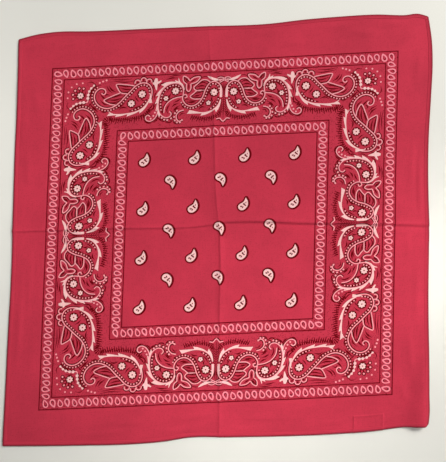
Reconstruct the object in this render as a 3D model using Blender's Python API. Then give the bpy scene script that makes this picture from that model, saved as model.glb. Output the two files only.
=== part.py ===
"""A cotton bandana lying flat: a square of printed plain-weave cotton with a narrow hem on each side.

The cloth is pulled a little off the square, so its weft and its warp lie at named angles to the X and Y
axes. Every piece is first set out on the finished cloth, with u along the weft and v along the warp
from the middle, and lay() then carries it to its place: it adds the waves of the four edges, the two
pressed folds that cross near the middle, the ridge over the label and the soft front right corner.
All lengths are in metres.
"""

import math

import bmesh
import bpy
import numpy as np

MM = 0.001

# The finished cloth.
HALF_WIDTH = 0.2770
HALF_DEPTH = 0.2740
WEFT_ANGLE = math.radians(2.69)
WARP_ANGLE = math.radians(88.31)
CLOTH_WALL = 0.0012

# The hems: the edge is turned under twice, so three layers lie in this strip.
HEM_WIDTH = 0.0050
HEM_WALL = 0.0018
HEM_ROUND = 0.0006
SEAM_GAP = 0.0003

# The label: a short ribbon under the cloth, with its long side caught in the front hem.
LABEL_LEFT = 0.1825
LABEL_WIDTH = 0.0376
LABEL_DEPTH = 0.0160
LABEL_WALL = 0.0010
LABEL_RAMP = 0.0030

# How far each edge stands out from its straight line. The first column is the share of the half
# side, where -1 is the left or front end of the side; the second is the distance in millimetres.
BACK_EDGE = (
    (-1.00, -4.5),
    (-0.91, 1.0),
    (-0.83, 3.1),
    (-0.66, 1.8),
    (-0.35, 0.9),
    (-0.07, 0.0),
    (0.20, -0.9),
    (0.38, 2.3),
    (0.55, 3.7),
    (0.73, 4.0),
    (0.87, 1.3),
    (0.95, 2.1),
    (1.00, -2.0),
)
FRONT_EDGE = (
    (-1.00, -2.3),
    (-0.60, 1.4),
    (-0.35, 2.2),
    (-0.21, 0.1),
    (-0.13, -2.7),
    (0.08, -1.1),
    (0.29, 0.4),
    (0.50, 0.8),
    (0.77, -1.5),
    (0.87, -4.1),
    (1.00, -4.4),
)
LEFT_EDGE = (
    (-1.00, 0.6),
    (-0.53, -0.3),
    (-0.11, -1.0),
    (0.17, 0.2),
    (0.42, 1.2),
    (0.63, 0.8),
    (1.00, 2.8),
)
RIGHT_EDGE = (
    (-1.00, 1.4),
    (-0.94, 2.9),
    (-0.83, 2.7),
    (-0.66, 2.0),
    (-0.41, 0.1),
    (-0.05, -0.6),
    (0.21, -2.8),
    (0.42, -2.8),
    (0.60, -0.7),
    (0.75, 0.7),
    (0.88, -0.9),
    (1.00, -5.6),
)
WAVE_START = 0.75  # share of the half side from which the waves grow towards the edge

# Where the two pressed folds run: the share of the half side, then the sideways drift of the fold
# from the cloth's own middle line in millimetres.
WARP_FOLD = (
    (-1.00, 8.5),
    (-0.48, 3.0),
    (0.00, -2.2),
    (0.49, -10.3),
    (1.00, -20.0),
)
WEFT_FOLD = (
    (-1.00, 9.4),
    (-0.53, 7.2),
    (0.00, 3.0),
    (0.52, 2.4),
    (1.00, -9.0),
)

# The folds in section. A ridge is highest on the fold line; a trough has a low ridge on each side.
RIDGE_HEIGHT = 0.0016
RIDGE_REACH = 0.0180
RIDGE_SHARPNESS = 1.5
TROUGH_HEIGHT = 0.0009
TROUGH_PEAK = 0.0080
TROUGH_REACH = 0.0260

# The front right corner is a little raised.
CORNER_LIFT = 0.0022
CORNER_REACH = 0.0450

# Lines of the cloth's grid: distances from each fold line, then places across the field and margin.
FOLD_LINES = (0.004, 0.008, 0.013, 0.018, 0.026)
FIELD_LINES = (0.065, 0.105, 0.145, 0.185, 0.215, 0.235, 0.255)
LINE_SPACING_MIN = 0.002
DRIFT_FADE = 2.0  # power by which a fold's drift fades towards the sides

# Finishes: colour in linear light, and roughness.
PRINTED_COTTON = ((0.552, 0.036, 0.067), 0.85)
TURNED_COTTON = ((0.480, 0.030, 0.056), 0.85)
RIBBON = ((0.800, 0.780, 0.740), 0.60)


def smooth(t):
    """Go from 0 to 1 with a level start and end."""
    t = min(max(t, 0.0), 1.0)
    return t * t * (3.0 - 2.0 * t)


def table_value(rows, along):
    """Read a table of two columns at a place along the side, in metres, on a smooth curve."""
    x = np.array([row[0] for row in rows])
    y = np.array([row[1] for row in rows]) * MM
    slope = np.gradient(y, x)
    along = min(max(along, -1.0), 1.0)
    i = int(np.clip(np.searchsorted(x, along) - 1, 0, len(x) - 2))
    step = x[i + 1] - x[i]
    t = (along - x[i]) / step
    start_curve = t * (1.0 - t) ** 2 * step * slope[i]
    end_curve = t * t * (t - 1.0) * step * slope[i + 1]
    return float(y[i] + (y[i + 1] - y[i]) * smooth(t) + start_curve + end_curve)


def ridge(distance):
    """Height of a sharp pressed ridge at a distance from its line."""
    return RIDGE_HEIGHT * max(0.0, 1.0 - abs(distance) / RIDGE_REACH) ** RIDGE_SHARPNESS


def trough(distance):
    """Height of the two low swellings that stand on either side of a pressed trough."""
    d = abs(distance)
    if d < TROUGH_PEAK:
        return TROUGH_HEIGHT * smooth(d / TROUGH_PEAK)
    return TROUGH_HEIGHT * (1.0 - smooth((d - TROUGH_PEAK) / (TROUGH_REACH - TROUGH_PEAK)))


def label_lift(u, v):
    """Height that the label lying under the cloth gives to the cloth above it."""
    outside_u = max(LABEL_LEFT - u, u - LABEL_RIGHT, 0.0)
    outside_v = max(LABEL_FRONT - SEAM_GAP - v, v - LABEL_BACK, 0.0)
    outside = math.hypot(outside_u, outside_v) - SEAM_GAP
    return (LABEL_WALL + SEAM_GAP) * (1.0 - smooth(outside / LABEL_RAMP))


def corner_lift(u, v):
    """Height of the soft front right corner."""
    reach = math.hypot(HALF_WIDTH - u, v + HALF_DEPTH)
    return CORNER_LIFT * (1.0 - smooth(reach / CORNER_REACH))


def lift(u, v):
    """Height of the cloth's underside above the surface that it lies on."""
    right_share = smooth((u + TROUGH_REACH) / (2.0 * TROUGH_REACH))
    weft_fold = ridge(v) * (1.0 - right_share) + trough(v) * right_share
    return max(weft_fold, trough(u)) + label_lift(u, v) + corner_lift(u, v)


def spread(u, v):
    """Carry a point of the finished cloth to its place in plan, before the origin is set."""
    share_u = u / HALF_WIDTH
    share_v = v / HALF_DEPTH
    wave_u = table_value(RIGHT_EDGE if u > 0.0 else LEFT_EDGE, share_v)
    wave_v = table_value(BACK_EDGE if v > 0.0 else FRONT_EDGE, share_u)
    wave_u *= smooth((abs(share_u) - WAVE_START) / (1.0 - WAVE_START))
    wave_v *= smooth((abs(share_v) - WAVE_START) / (1.0 - WAVE_START))
    drift_u = table_value(WARP_FOLD, share_v) * (1.0 - abs(share_u)) ** DRIFT_FADE
    drift_v = table_value(WEFT_FOLD, share_u) * (1.0 - abs(share_v)) ** DRIFT_FADE
    a = u + (wave_u if u > 0.0 else -wave_u) + drift_u
    b = v + (wave_v if v > 0.0 else -wave_v) + drift_v
    x = a * math.cos(WEFT_ANGLE) + b * math.cos(WARP_ANGLE)
    y = a * math.sin(WEFT_ANGLE) + b * math.sin(WARP_ANGLE)
    return x, y


def grid_lines(half_side, extra):
    """Lines across the panel in one direction: its edges, its fold, and those around the label."""
    lines = {0.0, *extra}
    for line in (*FOLD_LINES, *FIELD_LINES, half_side - HEM_WIDTH):
        for place in (-line, line):
            if all(abs(place - other) > LINE_SPACING_MIN for other in extra):
                lines.add(place)
    return sorted(lines)


LABEL_RIGHT = LABEL_LEFT + LABEL_WIDTH
LABEL_FRONT = HEM_WIDTH - HALF_DEPTH
LABEL_BACK = LABEL_FRONT + LABEL_DEPTH
LABEL_FOOT = SEAM_GAP + LABEL_RAMP
U_LINES = grid_lines(
    HALF_WIDTH,
    (LABEL_LEFT - LABEL_FOOT, LABEL_LEFT - SEAM_GAP, LABEL_RIGHT + SEAM_GAP, LABEL_RIGHT + LABEL_FOOT),
)
V_LINES = grid_lines(HALF_DEPTH, (LABEL_BACK + SEAM_GAP, LABEL_BACK + LABEL_FOOT))
FULL_V_LINES = [-HALF_DEPTH, *V_LINES, HALF_DEPTH]


def outline_middle():
    """Middle of the box that the four outer edges fill, which is the part's origin in plan."""
    points = [spread(u, side * HALF_DEPTH) for u in U_LINES for side in (-1.0, 1.0)]
    points += [spread(side * HALF_WIDTH, v) for v in FULL_V_LINES for side in (-1.0, 1.0)]
    return (np.min(points, axis=0) + np.max(points, axis=0)) / 2.0


MIDDLE = outline_middle()


def lay(u, v):
    """Carry a point of the finished cloth to its place on the cloth's underside."""
    x, y = spread(u, v)
    return (x - MIDDLE[0], y - MIDDLE[1], lift(u, v))


def lay_flat(u, v):
    """Carry a point of the finished cloth to the surface that the cloth lies on."""
    x, y = spread(u, v)
    return (x - MIDDLE[0], y - MIDDLE[1], 0.0)


def clear_scene():
    """Empty the scene, so that only the bandana is in it."""
    for item in list(bpy.data.objects):
        bpy.data.objects.remove(item)


def cloth_material(name, finish):
    """Make a plain matte finish for one piece of cloth."""
    color, roughness = finish
    material = bpy.data.materials.new(name)
    material.use_nodes = True
    shader = material.node_tree.nodes["Principled BSDF"]
    shader.inputs["Base Color"].default_value = (*color, 1.0)
    shader.inputs["Roughness"].default_value = roughness
    shader.inputs["Metallic"].default_value = 0.0
    return material


def make_wall(name, u_lines, v_lines, wall, place, finish, folded_edge=None):
    """Make a wall of cloth on lines along u and v, with its underside where place() puts it.

    folded_edge is the (u, v) side, such as (1, 0) for the right, that is a rounded fold.
    """
    mesh_data = bmesh.new()
    columns = len(u_lines) - 1
    rows = len(v_lines) - 1
    bmesh.ops.create_grid(mesh_data, x_segments=columns, y_segments=rows, size=0.5)
    fold_line = {(1, 0): (columns, None), (-1, 0): (0, None), (0, 1): (None, rows), (0, -1): (None, 0)}
    folded = fold_line.get(folded_edge)
    fold = []
    for vertex in mesh_data.verts:
        column = round((vertex.co.x + 0.5) * columns)
        row = round((vertex.co.y + 0.5) * rows)
        vertex.co = place(u_lines[column], v_lines[row])
        if folded in ((column, None), (None, row)):
            fold.append(vertex)
    raised = bmesh.ops.extrude_face_region(mesh_data, geom=mesh_data.faces[:], use_keep_orig=True)
    top = {item for item in raised["geom"] if isinstance(item, bmesh.types.BMVert)}
    bmesh.ops.translate(mesh_data, verts=list(top), vec=(0.0, 0.0, wall))
    for vertex in fold:
        neighbours = [edge.other_vert(vertex) for edge in vertex.link_edges]
        vertex.co.z += HEM_ROUND
        for above in top.intersection(neighbours):
            above.co.z -= HEM_ROUND
    bmesh.ops.recalc_face_normals(mesh_data, faces=mesh_data.faces)
    mesh = bpy.data.meshes.new(name)
    mesh_data.to_mesh(mesh)
    mesh_data.free()
    mesh.materials.append(cloth_material(name, finish))
    item = bpy.data.objects.new(name, mesh)
    bpy.context.collection.objects.link(item)


def make_panel():
    """Make the printed square up to its hem lines, raised over the label."""
    make_wall("panel", U_LINES, V_LINES, CLOTH_WALL, lay, PRINTED_COTTON)


def make_hems():
    """Make the four hems: the left and right run the full depth, the others fit between them."""
    inner_u = HALF_WIDTH - HEM_WIDTH + SEAM_GAP
    inner_v = HALF_DEPTH - HEM_WIDTH + SEAM_GAP
    right = [inner_u, HALF_WIDTH - HEM_ROUND, HALF_WIDTH]
    back = [inner_v, HALF_DEPTH - HEM_ROUND, HALF_DEPTH]
    left = [-line for line in reversed(right)]
    front = [-line for line in reversed(back)]
    make_wall("hem_left", left, FULL_V_LINES, HEM_WALL, lay, TURNED_COTTON, (-1, 0))
    make_wall("hem_right", right, FULL_V_LINES, HEM_WALL, lay, TURNED_COTTON, (1, 0))
    make_wall("hem_front", U_LINES, front, HEM_WALL, lay, TURNED_COTTON, (0, -1))
    make_wall("hem_back", U_LINES, back, HEM_WALL, lay, TURNED_COTTON, (0, 1))


def make_label():
    """Make the ribbon label that lies flat under the cloth, up to the front hem."""
    u_lines = [LABEL_LEFT, LABEL_RIGHT]
    v_lines = [LABEL_FRONT, LABEL_BACK]
    make_wall("label", u_lines, v_lines, LABEL_WALL, lay_flat, RIBBON)


def main():
    """Build the bandana."""
    clear_scene()
    make_panel()
    make_hems()
    make_label()


main()
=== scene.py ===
"""Cotton bandana laid flat: its cloth, hems, stitches, ribbon label and print, and a plain stage.

Every piece is first set out on the finished cloth, with u along the weft and v along the warp from
the cloth's middle, and lay_out() then carries it to its place on the folded, waved cloth. The print
is drawn in millimetres on a square, and the cloth's own stretch brings it to its size.
"""

import math

import bmesh
import bpy
import numpy as np
from mathutils import Matrix, Vector


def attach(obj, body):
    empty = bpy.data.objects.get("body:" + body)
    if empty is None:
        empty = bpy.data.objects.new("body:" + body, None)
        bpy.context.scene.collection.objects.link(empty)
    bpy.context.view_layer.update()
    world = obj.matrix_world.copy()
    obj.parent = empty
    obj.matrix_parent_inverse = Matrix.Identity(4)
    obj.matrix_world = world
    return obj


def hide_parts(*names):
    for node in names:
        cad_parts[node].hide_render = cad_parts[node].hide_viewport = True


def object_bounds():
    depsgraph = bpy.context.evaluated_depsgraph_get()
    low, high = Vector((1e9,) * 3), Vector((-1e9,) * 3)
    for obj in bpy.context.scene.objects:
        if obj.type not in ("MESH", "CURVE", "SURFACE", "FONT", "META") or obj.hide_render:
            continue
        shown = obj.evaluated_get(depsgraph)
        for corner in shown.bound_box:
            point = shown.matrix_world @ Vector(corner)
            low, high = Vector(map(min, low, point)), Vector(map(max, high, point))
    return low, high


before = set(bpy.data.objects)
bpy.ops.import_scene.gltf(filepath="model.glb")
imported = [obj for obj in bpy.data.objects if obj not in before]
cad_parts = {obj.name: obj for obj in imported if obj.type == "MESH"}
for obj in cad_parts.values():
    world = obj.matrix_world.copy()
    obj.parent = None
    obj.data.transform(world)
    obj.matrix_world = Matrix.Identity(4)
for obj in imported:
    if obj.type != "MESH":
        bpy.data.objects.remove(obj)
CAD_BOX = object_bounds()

bl_info = {
    "name": "Paisley Bandana",
    "version": (1, 0, 0),
    "blender": (4, 5, 0),
    "location": "View3D > Sidebar > Bandana",
    "description": "Builds a printed cotton bandana lying flat on a plain stage",
    "category": "Object",
}

MM = 0.001
BODY = "root"

# ---------------------------------------------------------------------------------------------
# The cloth's own sizes, in metres. They are those of the CAD solids.

HALF_WIDTH = 0.2770
HALF_DEPTH = 0.2740
WEFT_ANGLE = math.radians(2.69)
WARP_ANGLE = math.radians(88.31)
HEM_WIDTH = 0.0050
LABEL_LEFT = 0.1825
LABEL_RIGHT = 0.2201
LABEL_FRONT = HEM_WIDTH - HALF_DEPTH
LABEL_BACK = LABEL_FRONT + 0.0160

# Edges: share of the half side, then how far the edge stands out from its line in millimetres.
BACK_EDGE = (
    (-1.00, -4.5), (-0.91, 1.0), (-0.83, 3.1), (-0.66, 1.8), (-0.35, 0.9), (-0.07, 0.0),
    (0.20, -0.9), (0.38, 2.3), (0.55, 3.7), (0.73, 4.0), (0.87, 1.3), (0.95, 2.1), (1.00, -2.0),
)
FRONT_EDGE = (
    (-1.00, -2.3), (-0.60, 1.4), (-0.35, 2.2), (-0.21, 0.1), (-0.13, -2.7), (0.08, -1.1),
    (0.29, 0.4), (0.50, 0.8), (0.77, -1.5), (0.87, -4.1), (1.00, -4.4),
)
LEFT_EDGE = (
    (-1.00, 0.6), (-0.53, -0.3), (-0.11, -1.0), (0.17, 0.2), (0.42, 1.2), (0.63, 0.8), (1.00, 2.8),
)
RIGHT_EDGE = (
    (-1.00, 1.4), (-0.94, 2.9), (-0.83, 2.7), (-0.66, 2.0), (-0.41, 0.1), (-0.05, -0.6),
    (0.21, -2.8), (0.42, -2.8), (0.60, -0.7), (0.75, 0.7), (0.88, -0.9), (1.00, -5.6),
)
WAVE_START = 0.80
SOFT_CORNER = 0.0052   # radius of the front right corner in plan, and of the others
SHARP_CORNER = 0.0016

# The two pressed folds: share of the half side, then drift from the middle line in millimetres.
WARP_FOLD = (
    (-1.00, 6.5), (-0.90, 6.0), (-0.48, 3.2), (0.00, -0.8), (0.15, -5.5), (0.49, -11.0),
    (0.90, -20.5), (1.00, -22.5),
)
WEFT_FOLD = (
    (-1.00, 10.5), (-0.42, 7.5), (-0.18, 5.2), (0.06, 8.2), (0.20, 6.8), (0.40, 2.0),
    (0.70, -3.0), (1.00, -9.0),
)

# The folds in section: distance from the fold line, then height, both in millimetres. Distance
# grows to the right across the warp fold, and to the back across the weft fold.
BACK_FOLD = (
    (-30, 0.0), (-12, 0.30), (-5, 0.62), (-1.6, 1.16), (-0.2, 1.78), (1.2, 1.30), (3.4, 0.92),
    (10, 0.50), (28, 0.0),
)
FRONT_FOLD = (
    (-30, 0.0), (-11, 0.34), (-5, 0.66), (-1.4, 1.30), (0.8, 2.44), (2.2, 1.90), (5, 1.20),
    (13, 0.60), (32, 0.0),
)
LEFT_FOLD = (
    (-26, 0.0), (-10, 0.34), (-4.4, 0.62), (-2.2, 0.86), (-0.2, 2.30), (1.4, 1.80), (4, 1.20),
    (10, 0.70), (28, 0.0),
)
RIGHT_FOLD = (
    (-34, 0.0), (-15, 0.60), (-8, 0.80), (-4.6, 0.46), (-2.8, 0.10), (-1.2, 0.20), (1.0, 2.36),
    (2.4, 2.44), (5.5, 1.84), (15, 0.90), (34, 0.0),
)
FOLD_BLEND = 10.0  # millimetres over which one arm of a fold turns into the opposite one

# Share of a fold's height that is left at the cloth's edge: back, front, left and right arms.
FOLD_ENDS = (0.25, 0.60, 0.90, 0.60)
FADE_START = 0.60  # share of the half side from which an arm sinks

# Soft ripples, listed one by one: u, v, direction in degrees, half length, half width and height in
# millimetres.
RIPPLES = (
    (-262, -110, 89, 96, 3.6, 1.10),
    (-252, -70, 91, 60, 4.2, 0.80),
    (-243, -150, 88, 52, 5.0, 0.60),
    (-258, 92, 96, 40, 4.0, 0.90),
    (-266, 150, 84, 34, 3.4, 0.90),
    (-250, 182, 101, 30, 4.4, 0.70),
    (-257, 259, 5, 20, 2.8, 0.90),
    (-213, 256, 16, 26, 3.0, 1.50),
    (-222, 244, 13, 30, 4.6, 1.10),
    (-160, 250, 5, 34, 4.4, 0.70),
    (-104, 262, -4, 36, 3.6, 0.70),
    (-52, 243, 6, 30, 5.0, 0.70),
    (52, 262, 4, 26, 3.4, 0.70),
    (94, 246, -3, 38, 4.6, 0.70),
    (152, 262, 4, 28, 3.0, 1.00),
    (184, 252, -6, 32, 4.2, 1.00),
    (222, 262, 7, 24, 3.2, 1.10),
    (248, 247, 32, 26, 4.6, 1.20),
    (259, 205, 84, 34, 4.4, 0.90),
    (265, 50, 90, 54, 2.6, 1.40),
    (254, 70, 87, 48, 4.4, 0.90),
    (249, -30, 93, 30, 4.4, 0.70),
    (262, -96, 89, 52, 4.2, 1.00),
    (254, -180, 96, 50, 5.0, 1.30),
    (-150, -259, 4, 60, 3.4, 1.00),
    (-120, -247, 1, 52, 4.6, 0.80),
    (-48, -262, -5, 34, 3.0, 1.20),
    (-30, -246, 3, 44, 4.0, 0.90),
    (40, -263, 2, 28, 2.6, 1.40),
    (70, -250, -2, 46, 4.2, 0.90),
    (118, -240, 5, 36, 4.6, 0.80),
    (150, -259, 3, 26, 3.0, 0.90),
    (226, -259, 12, 30, 3.4, 1.10),
    (246, -226, 112, 24, 4.6, 0.90),
    (-236, -252, 28, 26, 4.8, 1.00),
    (-178, 40, 24, 50, 12.0, 1.20),
    (-70, 25, 14, 60, 11.0, 1.20),
    (92, -60, -20, 70, 14.0, 1.10),
    (60, 120, 66, 60, 12.0, 1.00),
    (-110, -120, -52, 70, 13.0, 1.10),
    (150, 175, 30, 44, 11.0, 1.00),
)

# Long slow swells of the whole cloth: wave length in millimetres, direction and phase in degrees,
# and height in millimetres.
SWELLS = (
    (210, 18, 40, 0.20),
    (147, 104, 200, 0.20),
    (96, 63, 310, 0.14),
    (83, 152, 95, 0.12),
    (58, 35, 15, 0.07),
)

CLOTH = 0.00042        # thickness of the cloth
LABEL_THICK = 0.00055
LABEL_BEVEL = 0.00012
LABEL_RAMP = 0.0014    # width over which the cloth comes down from the label
LABEL_RIM = 0.00050    # the ribbon's pressed edges stand up under the cloth
RIM_WIDTH = 0.0013
CORNER_LIFT = 0.0012   # the whole front right corner is a little raised
CORNER_REACH = 0.0420
CURL_LIFT = 0.0066     # towards that corner the right edge rolls up to a crest and down again
CURL_CREST = 0.0065    # from the edge in to the crest
CURL_REACH = 0.0270    # from the crest in to flat cloth
CURL_DROP = 0.60       # share of the height that is lost from the crest out to the edge
CURL_LENGTH = 0.1350
CURL_NARROW = 0.3      # share of the reach that is left far from the corner

# Hem in section: distance in from the hem's outer fold, then height, both in millimetres. The sewn
# inner edge lies on the cloth, and the line of stitches draws the top down into a groove.
HEM_SECTION = (
    (5.2, 0.02), (4.6, 0.0), (2.5, 0.0), (0.6, 0.0), (0.12, 0.16), (0.0, 0.45), (0.12, 0.78),
    (0.6, 1.0), (1.4, 1.06), (2.4, 1.02), (3.2, 0.94), (3.65, 0.74), (4.05, 0.72), (4.5, 0.86),
    (4.9, 0.80), (5.15, 0.62), (5.3, 0.30),
)
HEM_STEPS = 300
HEM_END = 0.0020       # length over which a hem thins at its ends, to the share in HEM_THIN
HEM_THIN = 0.6
HEM_GAP = 0.0002       # between a hem's end and the corner
HEM_WANDER = 0.00012   # how far the hem's inner edge, which is beyond HEM_INNER, wanders
HEM_INNER = 0.0040
HEM_PUFF = 0.10        # share by which the hem's height comes and goes

# The stitches, in millimetres.
STITCH_LINE = 3.85   # from the hem's outer fold in to the seam
STITCH_LEVEL = 0.76
STITCH_PITCH = 2.7
STITCH_SIZE = (2.1, 0.42, 0.30)
STITCH_MARGIN = 3.0  # from the corner to the first stitch
STITCH_STRAY = (0.12, 0.10)     # how far a stitch strays along the seam and across it
STITCH_SLANT = (5.0, 3.0)       # its slant in degrees, and how far that strays

# ---------------------------------------------------------------------------------------------
# The print, in millimetres on a square.

PRINT_TO_U = 1.0103 * MM
PRINT_TO_V = 0.9908 * MM
OUTER_LINE = 229.0
OUTER_INSET = 213.0
INNER_LINE = 139.9
INNER_INSET = 124.6
FILM = 0.15          # thickness of a film of ink, of which most is sunk in the cloth

# Heights of the tops of the inks over the cloth: dark under light, light, and dark over light.
# Strokes that cross add a few thousandths to these, so that no two of their faces coincide.
UNDER = 0.05
LIGHT = 0.08
OVER = 0.11


def smooth(t):
    """Go from 0 to 1 with a level start and end."""
    t = np.clip(t, 0.0, 1.0)
    return t * t * (3.0 - 2.0 * t)


def table_curve(rows, at):
    """Read a table of two columns on a smooth curve through its rows."""
    x, y = np.array(rows, float).T
    slope = np.gradient(y, x)
    at = np.clip(at, x[0], x[-1])
    i = np.clip(np.searchsorted(x, at) - 1, 0, len(x) - 2)
    step = x[i + 1] - x[i]
    t = (at - x[i]) / step
    ends = step * (slope[i] * t * (1.0 - t) ** 2 + slope[i + 1] * t * t * (t - 1.0))
    return y[i] + (y[i + 1] - y[i]) * smooth(t) + ends


def spread(u, v):
    """Carry points of the finished cloth to their places in plan, before the origin is set."""
    round_off = np.where((u > 0) & (v < 0), SOFT_CORNER, SHARP_CORNER)
    past_u = np.maximum(np.abs(u) - HALF_WIDTH + round_off, 0.0)
    past_v = np.maximum(np.abs(v) - HALF_DEPTH + round_off, 0.0)
    pull = 1.0 - np.maximum(past_u, past_v) / np.maximum(np.hypot(past_u, past_v), 1e-9)
    u = u - np.sign(u) * past_u * pull
    v = v - np.sign(v) * past_v * pull
    share_u = u / HALF_WIDTH
    share_v = v / HALF_DEPTH
    wave_u = np.where(u > 0, table_curve(RIGHT_EDGE, share_v), table_curve(LEFT_EDGE, share_v)) * MM
    wave_v = np.where(v > 0, table_curve(BACK_EDGE, share_u), table_curve(FRONT_EDGE, share_u)) * MM
    a = u + np.sign(u) * wave_u * smooth((np.abs(share_u) - WAVE_START) / (1.0 - WAVE_START))
    b = v + np.sign(v) * wave_v * smooth((np.abs(share_v) - WAVE_START) / (1.0 - WAVE_START))
    x = a * math.cos(WEFT_ANGLE) + b * math.cos(WARP_ANGLE)
    y = a * math.sin(WEFT_ANGLE) + b * math.sin(WARP_ANGLE)
    return x, y


def outline_middle():
    """Middle of the box that the cloth's four edges fill."""
    run = np.linspace(-1.0, 1.0, 401)
    ends = np.ones_like(run)
    places = [spread(run * HALF_WIDTH, ends * side * HALF_DEPTH) for side in (-1.0, 1.0)]
    places += [spread(ends * side * HALF_WIDTH, run * HALF_DEPTH) for side in (-1.0, 1.0)]
    x, y = np.concatenate(places, axis=1)
    return (x.min() + x.max()) / 2.0, (y.min() + y.max()) / 2.0


CAD_MIDDLE = (CAD_BOX[0] + CAD_BOX[1]) / 2.0
OUTLINE_MIDDLE = outline_middle()


def fold_height(u, v):
    """Height of the two pressed folds, in millimetres."""
    off_warp = u / MM - table_curve(WARP_FOLD, v / HALF_DEPTH)
    off_weft = v / MM - table_curve(WEFT_FOLD, u / HALF_WIDTH)
    back = smooth(off_weft / (2.0 * FOLD_BLEND) + 0.5)
    right = smooth(off_warp / (2.0 * FOLD_BLEND) + 0.5)
    far_v = smooth((np.abs(v) / HALF_DEPTH - FADE_START) / (1.0 - FADE_START))
    far_u = smooth((np.abs(u) / HALF_WIDTH - FADE_START) / (1.0 - FADE_START))
    arms = (
        (BACK_FOLD, off_warp, back, far_v),
        (FRONT_FOLD, off_warp, 1.0 - back, far_v),
        (LEFT_FOLD, off_weft, 1.0 - right, far_u),
        (RIGHT_FOLD, off_weft, right, far_u),
    )
    heights = [
        table_curve(section, away) * share * (1.0 - (1.0 - end) * far)
        for (section, away, share, far), end in zip(arms, FOLD_ENDS)
    ]
    return np.hypot(heights[0] + heights[1], heights[2] + heights[3])


def ripple_height(u, v):
    """Height of the soft ripples and slow swells, in millimetres."""
    x, y = u / MM, v / MM
    total = np.zeros_like(x)
    for u0, v0, turn, length, width, height in RIPPLES:
        cos, sin = math.cos(math.radians(turn)), math.sin(math.radians(turn))
        along = ((x - u0) * cos + (y - v0) * sin) / length
        across = ((y - v0) * cos - (x - u0) * sin) / width
        total += height * np.exp(-across ** 2) * smooth(1.0 - np.abs(along))
    for length, turn, phase, height in SWELLS:
        cos, sin = math.cos(math.radians(turn)), math.sin(math.radians(turn))
        angle = (x * cos + y * sin) * 2.0 * math.pi / length + math.radians(phase)
        total += height * (1.0 + np.sin(angle))
    return total


def label_height(u, v):
    """Height that the label gives to the cloth over it, in metres."""
    outside_u = np.maximum(LABEL_LEFT - u, u - LABEL_RIGHT)
    outside_v = v - LABEL_BACK
    beyond = np.hypot(np.maximum(outside_u, 0.0), np.maximum(outside_v, 0.0))
    from_rim = np.maximum(beyond, np.abs(np.minimum(np.maximum(outside_u, outside_v), 0.0)))
    rim = LABEL_RIM * np.exp(-(from_rim / RIM_WIDTH) ** 2)
    return LABEL_THICK * (1.0 - smooth(beyond / LABEL_RAMP)) + rim


def cloth_height(u, v):
    """Height of the cloth's underside above the surface that it lies on, in metres."""
    corner = np.hypot(HALF_WIDTH - u, v + HALF_DEPTH)
    lift = CORNER_LIFT * (1.0 - smooth(corner / CORNER_REACH))
    near_corner = 1.0 - smooth((v + HALF_DEPTH) / CURL_LENGTH)
    inward = HALF_WIDTH - u
    reach = CURL_REACH * (CURL_NARROW + (1.0 - CURL_NARROW) * near_corner)
    rise = smooth(1.0 - (inward - CURL_CREST) / reach)
    drop = 1.0 - CURL_DROP * smooth(1.0 - inward / CURL_CREST)
    curl = CURL_LIFT * near_corner * rise * drop
    return (fold_height(u, v) + ripple_height(u, v)) * MM + label_height(u, v) + lift + curl


FOLDED_U = (-30, 14)     # the strips, in millimetres, that the folds run in
FOLDED_V = (-18, 16)
GRID_STEP = 0.0030       # spacing of the cloth's grid away from the folds
RIM_INSET = 0.0035       # from the hem's outer fold in to the cloth's own edge, inside the hem
LINES_APART = 0.0003     # the least spacing of the grid
LABEL_LINES = np.arange(-2.4, 2.5, 0.6) * MM     # places of the grid's lines across the label's edges


def cloth_lines(half_side, folded, label_edges):
    """Lines of the cloth's grid: every millimetre along a fold, and wider elsewhere."""
    first, last = folded
    fold = np.arange(first, last + 0.5, 1.0) * MM
    before = np.linspace(-half_side, first * MM, math.ceil((half_side + first * MM) / GRID_STEP) + 1)
    after = np.linspace(last * MM, half_side, math.ceil((half_side - last * MM) / GRID_STEP) + 1)
    around = [edge + LABEL_LINES for edge in label_edges]
    rim = [RIM_INSET - half_side, half_side - RIM_INSET]
    lines = np.unique(np.round(np.concatenate([before, fold, after, rim, *around]), 6))
    apart = np.concatenate([[True], np.diff(lines) > LINES_APART])
    return lines[apart]


U_LINES = cloth_lines(HALF_WIDTH, FOLDED_U, (LABEL_LEFT, LABEL_RIGHT))
V_LINES = cloth_lines(HALF_DEPTH, FOLDED_V, (LABEL_BACK,))
HEIGHTS = cloth_height(*np.meshgrid(U_LINES, V_LINES, indexing="ij"))


def lie(u, v):
    """Height of the cloth's underside, read between the lines of its grid, in metres."""
    i = np.clip(np.searchsorted(U_LINES, u) - 1, 0, len(U_LINES) - 2)
    j = np.clip(np.searchsorted(V_LINES, v) - 1, 0, len(V_LINES) - 2)
    s = np.clip((u - U_LINES[i]) / (U_LINES[i + 1] - U_LINES[i]), 0.0, 1.0)
    t = np.clip((v - V_LINES[j]) / (V_LINES[j + 1] - V_LINES[j]), 0.0, 1.0)
    front = HEIGHTS[i, j] * (1.0 - s) + HEIGHTS[i + 1, j] * s
    back = HEIGHTS[i, j + 1] * (1.0 - s) + HEIGHTS[i + 1, j + 1] * s
    return front * (1.0 - t) + back * t


def place_at(u, v, height):
    """Carry points of the finished cloth to their places, at heights above the floor."""
    x, y = spread(u, v)
    x = x - OUTLINE_MIDDLE[0] + CAD_MIDDLE.x
    y = y - OUTLINE_MIDDLE[1] + CAD_MIDDLE.y
    return np.stack([x, y, CAD_BOX[0].z + height], axis=1)


def lay_out(u, v, height):
    """Carry points of the finished cloth, at heights above its underside, to their places."""
    return place_at(u, v, lie(u, v) + height)


# ---------------------------------------------------------------------------------------------
# Sizes and colours that a user may change.


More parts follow.
